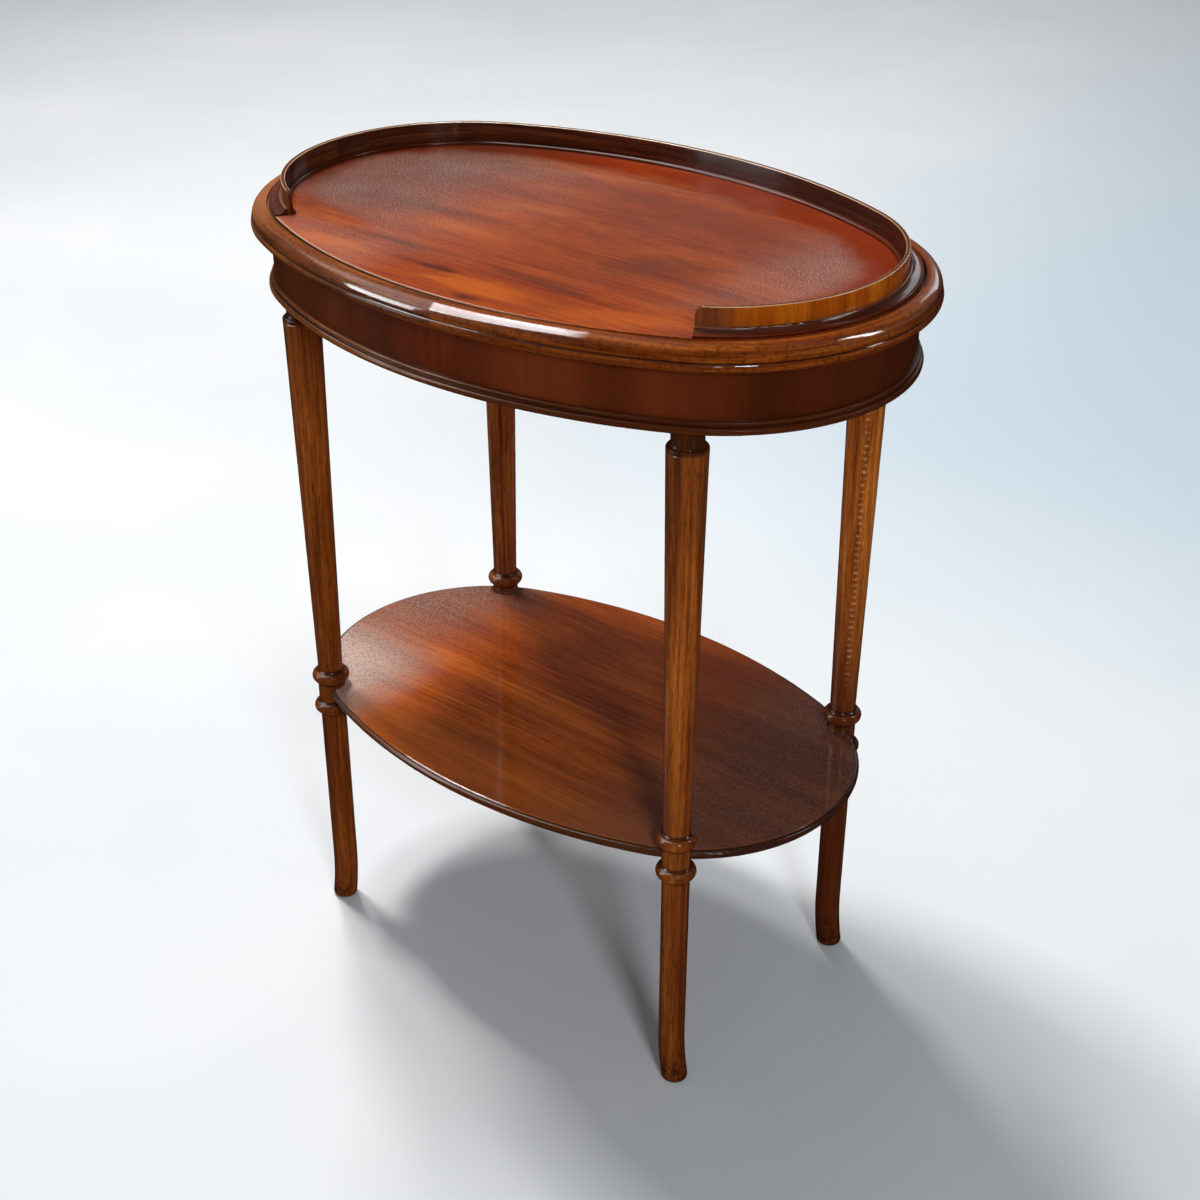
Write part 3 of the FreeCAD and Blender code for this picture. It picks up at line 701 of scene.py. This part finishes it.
def make_apron_wear():
    inputs = {"Position": "Vector", "Height": "Float"}
    outputs = {"Groove": "Float", "Brown": "Float", "Gloss": "Float"}
    g, given = begin_group("Apron wear", inputs, outputs)
    x = g.axes(given["Position"])[0]
    groove = g.smooth(g.apart(given["Height"], APRON_GROOVE_HEIGHT), 0.0012, 0.0004)
    return end_group(g, Groove=g.times(groove, 0.8), Brown=g.smooth(x, -0.16, 0.10, 0.0, 0.92),
                     Gloss=g.smooth(x, -0.12, 0.12, 1.0, 0.4))


apron_wear = make_apron_wear()

# %% [markdown]
# The bead is solid wood with its grain along the oval. Its four lengths have the
# same tones, and each has its own seed. It gets less polish than the rim, because
# no hand reaches it.

# %% Apron bead
APRON_GRAIN = (rgb(108, 50, 12), rgb(162, 90, 28), rgb(208, 138, 60))


def make_apron(seed):
    material, g, parts = start_wood(f"Apron bead {seed}", "oval", float(seed))
    height = parts["oval"]["Height"]
    wear = use_group(g, apron_wear, Position=parts["place"], Height=height)
    colour = grain_colour(g, parts["grain"], *APRON_GRAIN)
    # painted shade in the groove
    colour = g.mix(wear["Groove"], colour, rgb(34, 12, 5))
    colour = g.mix(wear["Brown"], colour, rgb(66, 24, 10))
    return finish_wood(material, g, parts, colour, coat=(0.05, 0.2), coat_rough=0.1,
                       gloss=wear["Gloss"])


for seed, corner in enumerate(("front_left", "front_right", "back_right", "back_left"), 41):
    dress(["apron_bead_" + corner], make_apron(seed))

# %% [markdown]
# ## The legs
#
# The turned head of a leg and the creases beside the rings are painted nearly black, a painted
# shade. The lower half is darker and redder towards the bottom, and the feet are scuffed. These
# marks could be painted on an unwrapped leg. But turned work changes only with the height, so masks
# that ask for the height do it, and one group serves all four legs.

# %% Leg wear and painted shade
LEG_HEAD = (0.6075, 0.6105)
RING_HEIGHTS = (0.25875, 0.22575)
RING_CREASE = 0.0066


def make_leg_wear():
    inputs = {"Position": "Vector", "Height": "Float"}
    outputs = {"Low": "Float", "High": "Float", "Head": "Float", "Crease": "Float",
               "Scuff": "Float", "Gloss": "Float"}
    g, given = begin_group("Leg wear", inputs, outputs)
    height = given["Height"]
    head = g.smooth(height, *LEG_HEAD)
    dull, creases = g.times(head, 0.8), 0.0
    for ring in RING_HEIGHTS:
        away = g.apart(height, ring)
        crease = g.smooth(g.apart(away, RING_CREASE), 0.0022, 0.0008)
        creases = g.larger(crease, creases)
        dull = g.larger(dull, g.smooth(away, 0.0085, 0.006, 0.0, 0.45))
    scuff = g.noise(given["Position"], scale=140.0, detail=3.0, rough=0.7)
    scuff = g.times(g.smooth(height, 0.05, 0.004), g.smooth(scuff, 0.4, 0.7))
    return end_group(g, Low=g.smooth(height, 0.48, 0.22),
                     High=g.smooth(height, 0.50, 0.60, 0.0, 0.3), Head=g.times(head, 0.75),
                     Crease=g.times(creases, 0.7), Scuff=scuff, Gloss=g.minus(1.0, dull))


leg_wear = make_leg_wear()

# %% [markdown]
# On the back right leg the lathe tool chattered. It left steps 6 mm apart, and their highlight
# shows as a ladder of small pale marks up one side. The steps could be cut, but they are too
# shallow to change the outline. So the highlight is painted, as a pale wave up the leg kept to a
# narrow strip and broken up by noise. The strip runs up the middle of the leg as the camera sees
# it: ACROSS points to the camera's right.

# %% Chatter highlight
CHATTER_STEP = 0.006
ACROSS = (0.764, 0.645, 0.0)


def chatter(g, place, name):
    head = [v.co for v in nodes[name].data.vertices if v.co.z > 0.6]
    axis = [(min(v[i] for v in head) + max(v[i] for v in head)) / 2 for i in (0, 1)]
    values = {0: place, 1: ACROSS}
    across = g.add("VectorMath", values, operation="DOT_PRODUCT").outputs["Value"]
    sideways = g.apart(across, ACROSS[0] * axis[0] + ACROSS[1] * axis[1])
    height = g.axes(place)[2]
    wave = g.math("SINE", g.times(height, 2 * math.pi / CHATTER_STEP))
    steps = g.times(g.smooth(wave, -0.2, 0.9), g.smooth(sideways, 0.0032, 0.0008))
    broken = g.smooth(g.noise(place, scale=260.0, detail=3.0, rough=0.7), 0.42, 0.60, 0.1, 1.0)
    between = g.times(g.smooth(height, 0.28, 0.34), g.smooth(height, 0.60, 0.54))
    return g.times(g.times(steps, broken), g.times(between, 0.4))


print("chatter marks per decimetre:", round(0.1 / CHATTER_STEP))

# %% [markdown]
# The grain runs up each leg. How much darker the lower half gets differs from leg to leg, and is
# the second number of each row. Each leg is painted darker where its side turns away from the
# camera, a painted shade. Layer Weight finds that side.

# %% Legs
def make_leg(corner, seed, fade, dark, middle, light):
    name = "leg_" + corner
    material, g, parts = start_wood("Leg " + corner, "upright", seed, bend=0.015, streaks=0.55)
    height = parts["oval"]["Height"]
    wear = use_group(g, leg_wear, Position=parts["place"], Height=height)
    colour = grain_colour(g, parts["grain"], dark, middle, light, pores=0.6)
    colour = g.mix(g.times(wear["Low"], fade), colour, rgb(72, 22, 12))
    colour = g.mix(wear["High"], colour, rgb(70, 30, 18))
    # painted shade on the head and in the creases beside the rings
    colour = g.mix(wear["Head"], colour, rgb(38, 16, 10))
    colour = g.mix(wear["Crease"], colour, rgb(30, 13, 8))
    # painted highlight of the chatter steps
    if name == "leg_back_right":
        colour = g.mix(chatter(g, parts["place"], name), colour, rgb(244, 190, 150))
    colour = g.mix(wear["Scuff"], colour, rgb(34, 15, 10))
    # painted shade where the side turns away from the camera
    facing = g.add("LayerWeight", {"Blend": 0.4}).outputs["Facing"]
    colour = g.mix(g.smooth(facing, 0.35, 0.95, 0.0, 0.65), colour, rgb(42, 17, 11))
    return finish_wood(material, g, parts, colour, coat=(0.18, 0.34), coat_rough=0.12,
                       gloss=wear["Gloss"])


LEG_TONES = {
    "front_left": (51.0, 0.2, rgb(78, 32, 6), rgb(134, 65, 17), rgb(184, 98, 32)),
    "front_right": (52.0, 0.5, rgb(90, 40, 10), rgb(158, 80, 25), rgb(212, 120, 42)),
    "back_right": (53.0, 0.9, rgb(108, 50, 14), rgb(191, 103, 33), rgb(240, 152, 58)),
    "back_left": (54.0, 0.6, rgb(98, 46, 16), rgb(172, 92, 34), rgb(230, 140, 60)),
}
for corner, tones in LEG_TONES.items():
    dress(["leg_" + corner], make_leg(corner, *tones))

# %% [markdown]
# ## The shelf
#
# The shelf has straight, fine grain along its length and a dull, nearly black edge. It darkens to
# the right, to the back and at its left end. Both ends carry a pale haze, partly dust and partly a
# painted reflection, and the front of the left end has a painted sheen, the palest place on it.
# Dust could be thousands of grains, but from here it only makes the polish greyer, so the dust
# pattern of the polish breaks up the pale colours.

# %% The colour of the shelf
SHELF_GRAIN = (rgb(140, 54, 8), rgb(186, 82, 12), rgb(226, 112, 24))


def shelf_colour(g, parts, x, y):
    colour = grain_colour(g, parts["grain"], *SHELF_GRAIN, pores=0.5)
    colour = g.mix(g.smooth(x, 0.03, 0.2, 0.0, 0.7), colour, rgb(62, 27, 12))
    colour = g.mix(g.smooth(y, -0.02, 0.10, 0.0, 0.62), colour, rgb(84, 36, 14))
    colour = g.mix(g.smooth(y, -0.08, -0.13, 0.0, 0.3), colour, rgb(220, 118, 40))
    colour = g.mix(g.smooth(x, -0.14, -0.24, 0.0, 0.45), colour, rgb(90, 42, 20))
    dust = parts["polish"]["Dust"]
    # pale haze at both ends: partly dust, partly a painted reflection
    haze = g.plus(g.smooth(x, -0.12, -0.25, 0.0, 0.44), g.smooth(x, 0.05, 0.2, 0.0, 0.16))
    haze = g.times(haze, g.smooth(dust, 0.42, 0.62, 0.3, 1.7))
    # painted sheen at the front of the left end
    palest = g.times(g.smooth(x, -0.12, -0.20), g.smooth(y, 0.0, -0.08, 0.0, 0.72))
    palest = g.times(palest, g.smooth(dust, 0.35, 0.6, 0.5, 1.2))
    colour = g.mix(haze, colour, rgb(156, 134, 126))
    return g.mix(palest, colour, rgb(214, 194, 182))


print("shelf, dark to light:", [[round(v, 3) for v in tone[:3]] for tone in SHELF_GRAIN])

# %% [markdown]
# The edge of the shelf starts just below its upper face. It is darker and duller than the top.

# %% Shelf
SHELF_EDGE = (0.24735, 0.2466)


def make_shelf():
    material, g, parts = start_wood("Shelf", "long", 61.0, bend=0.03)
    x, y, z = g.axes(parts["place"])
    edge = g.smooth(z, *SHELF_EDGE)
    colour = g.mix(g.times(edge, 0.8), shelf_colour(g, parts, x, y), rgb(32, 14, 9))
    gloss = g.remap(edge, 0.0, 1.0, 1.0, 0.2)
    return finish_wood(material, g, parts, colour, coat=(0.5, 0.9), coat_rough=0.07, gloss=gloss)


dress(["shelf"], make_shelf())

# %% [markdown]
# ## Wood that nobody sees, and the screws
#
# Under the top is bare wood without polish: the board and the bricks that make
# the core of the frieze. The same recipe makes it, with rougher wood, more bump
# and hardly any coat.

# %% Bare wood
def make_bare(name, seed, dark, middle, light):
    material, g, parts = start_wood(name, "long", seed)
    colour = grain_colour(g, parts["grain"], dark, middle, light)
    return finish_wood(material, g, parts, colour, coat=(0.0, 0.04), bump=0.5, rough=(0.6, 0.75))


board_wood = make_bare("Board underside", 71.0, rgb(66, 40, 26), rgb(110, 72, 48), rgb(142, 98, 66))
brick_wood = make_bare("Brick core", 72.0, rgb(96, 68, 44), rgb(148, 112, 76), rgb(178, 142, 100))
dress(["top_board"], board_wood)
dress([name for name in nodes if name.startswith(("frieze_lower", "frieze_upper"))], brick_wood)
dress(["shelf_dowels"], brick_wood)

# %% [markdown]
# The screws are plain steel gone dull. Bright metal would look new, so a fine
# stain changes its colour and its roughness together.

# %% Screws
def make_steel():
    material = bpy.data.materials.new("Dull steel")
    material.use_nodes = True
    g = Painter(material.node_tree)
    place = g.add("TexCoord").outputs["Object"]
    stain = g.noise(place, scale=700.0, detail=4.0, rough=0.6)
    colour = g.ramp(stain, [(0.35, rgb(70, 56, 46)), (0.7, rgb(142, 138, 132))])
    bumps = g.add("Bump", {"Height": stain, "Distance": 0.0002, "Strength": 0.4})
    shader = g.tree.nodes["Principled BSDF"]
    g.feed(shader.inputs["Base Color"], colour)
    g.feed(shader.inputs["Roughness"], g.remap(stain, 0.3, 0.7, 0.6, 0.35))
    g.feed(shader.inputs["Normal"], bumps.outputs[0])
    shader.inputs["Metallic"].default_value = 1.0
    return material


dress(["top_screws"], make_steel())

# %% [markdown]
# ## Floor and light
#
# The stage is one large pale floor, which fills the whole picture. The real
# table was photographed in a dim room, and its polish mirrors that room. So the
# bright floor is hidden from mirror rays, and the wood keeps its deep colour.
# Far back on the right the floor is painted a little bluer and darker, a painted shade.

# %% Floor
FLOOR_WIDTH = 14.0
FLOOR_DROP = -0.0004


def make_stage():
    bpy.ops.mesh.primitive_plane_add(size=FLOOR_WIDTH, location=(0.0, 0.0, FLOOR_DROP))
    floor = bpy.context.object
    floor.name = "studio_floor"
    bpy.ops.object.transform_apply(location=True, rotation=True, scale=True)
    material = bpy.data.materials.new("Pale floor")
    material.use_nodes = True
    g = Painter(material.node_tree)
    place = g.add("TexCoord").outputs["Object"]
    cloud = g.noise(place, scale=1.5, detail=3.0)
    x, y = g.axes(place)[:2]
    colour = g.ramp(cloud, [(0.3, rgb(232, 235, 237)), (0.7, rgb(244, 245, 245))])
    # painted shade far back on the right
    far_right = g.times(g.smooth(x, -1.5, -0.2), g.smooth(y, 0.4, 1.4))
    shader = g.tree.nodes["Principled BSDF"]
    g.feed(shader.inputs["Base Color"], g.mix(far_right, colour, rgb(206, 219, 228)))
    shader.inputs["Roughness"].default_value = 0.75
    shader.inputs["Specular IOR Level"].default_value = 0.0
    floor.data.materials.append(material)
    floor.visible_glossy = False
    return floor


floor = make_stage()
print("floor is", round(floor.dimensions.x, 1), "m across")

# %% [markdown]
# Each lamp is an area light turned to face a point on the table. The first group
# lights the scene and throws the shadows: three lamps above on the left, a low
# one in front on the right, and a wide soft one overhead. One large lamp would be
# simpler, but each leg would then throw one soft shadow instead of several. The
# wash only lightens the floor far back. A row gives the place, the point it
# faces, the width, the power in watts and the colour.

# %% Lights
WHITE = (1.0, 1.0, 1.0)
COOL = (0.94, 0.97, 1.0)
BLUISH = (0.88, 0.95, 1.0)
LAMPS = {
    "key": ((-1.85, 0.22, 4.1), (0.0, 0.0, 0.2), 0.5, 75, WHITE),
    "second key": ((-1.20, 0.45, 4.3), (0.0, 0.0, 0.2), 0.5, 40, WHITE),
    "back key": ((-1.88, 1.09, 3.9), (0.0, 0.0, 0.2), 0.5, 45, WHITE),
    "front lamp": ((2.3, -1.7, 2.0), (0.0, 0.0, 0.3), 0.5, 34, BLUISH),
    "soft overhead": ((0.3, -0.3, 3.6), (0.0, 0.0, 0.0), 3.0, 8, COOL),
    "wash on the backdrop": ((-2.6, 3.2, 3.0), (-2.6, 3.0, 0.0), 3.0, 30, COOL),
}


def add_light(name, place, target, width, depth, power, colour):
    bpy.ops.object.light_add(type="AREA", location=place)
    lamp = bpy.context.object
    lamp.name = name
    lamp.data.shape = "RECTANGLE"
    lamp.data.size = width
    lamp.data.size_y = depth
    lamp.data.energy = power
    lamp.data.color = colour
    facing = Vector(target) - Vector(place)
    lamp.rotation_euler = facing.to_track_quat("-Z", "Y").to_euler()
    return lamp


for name, (place, target, width, power, colour) in LAMPS.items():
    lamp = add_light(name, place, target, width, width, power, colour)
    lamp.visible_glossy = name != "wash on the backdrop"
print("lamps:", ", ".join(LAMPS))

# %% [markdown]
# The second group only shows up as highlights in the polish, like the cards that
# a product photographer sets beside a shiny object. It gives no light to matt
# surfaces, so it changes neither the shadows nor the colour of the wood. A row
# gives the direction from the front of the top, the width, the depth and the
# brightness.

# %% Highlight cards
CARD_TARGET = (0.0, -0.1, 0.69)
CARD_DISTANCE = 2.4
CARDS = {
    "card for the front rim": ((-0.52, -0.28, 0.78), 2.3, 2.3, 18),
    "card for the left rim": ((-0.72, -0.66, 0.20), 0.8, 1.7, 18),
    "card for the right rim": ((0.68, 0.46, 0.56), 0.3, 1.0, 26),
    "card for the back rim": ((-0.10, 0.95, 0.28), 0.9, 0.9, 3.2),
    "card for the bead": ((0.45, -0.35, 0.83), 0.8, 0.5, 9),
    "card for the gallery": ((0.64, -0.72, 0.28), 0.14, 0.8, 5),
}
for name, (direction, width, depth, brightness) in CARDS.items():
    place = Vector(CARD_TARGET) + Vector(direction).normalized() * CARD_DISTANCE
    power = brightness * math.pi * width * depth
    card = add_light(name, place, CARD_TARGET, width, depth, power, COOL)
    card.visible_diffuse = False
print("cards:", len(CARDS))

# %% [markdown]
# The world is what the polish mirrors where no lamp is. It is brightest a little
# above the horizon, like pale walls, and dark above and below. A picture of a
# room could stand here, but the polish blurs it, so a few soft steps are enough.
# A camera that looks past the floor sees it pale all over.

# %% World
ROOM_COLOUR = (0.86, 0.90, 0.95, 1.0)
BACKDROP = 0.82


def make_world():
    world = bpy.data.worlds.new("Pale room")
    bpy.context.scene.world = world
    world.use_nodes = True
    g = Painter(world.node_tree)
    height = g.axes(g.add("TexCoord").outputs["Generated"])[2]
    below = g.smooth(height, -0.1, 0.2, 0.03, 1.0)
    above = g.smooth(height, 0.28, 0.6, 0.19, 0.08)
    seen = g.add("LightPath").outputs["Is Camera Ray"]
    background = world.node_tree.nodes["Background"]
    background.inputs[0].default_value = ROOM_COLOUR
    g.feed(background.inputs[1], g.remap(seen, 0.0, 1.0, g.times(below, above), BACKDROP))
    return world


print("world:", make_world().name)
bpy.context.scene.view_settings.view_transform = "Standard"

# %% [markdown]
# ## Camera
#
# The camera was worked out from the photograph: where the oval edges and the
# legs fall in it gives the place, the turn and the lens. The small shift is
# there because the photograph was cropped.

# %% Camera
CAMERA_PLACE = (0.97881, -1.17263, 1.21470)
CAMERA_TURN = (58.3847, 0.4333, 40.1851)
LENS = 58.844
SENSOR_WIDTH = 36.0
CROP_SHIFT = (0.029667, 0.065333)

bpy.ops.object.camera_add(location=CAMERA_PLACE, rotation=[math.radians(a) for a in CAMERA_TURN])
camera = bpy.context.object
camera.data.sensor_width = SENSOR_WIDTH
camera.data.lens = LENS
camera.data.shift_x, camera.data.shift_y = CROP_SHIFT
bpy.context.scene.camera = camera
print("camera stands", round(camera.location.length, 2), "m from the origin")

# %% [markdown]
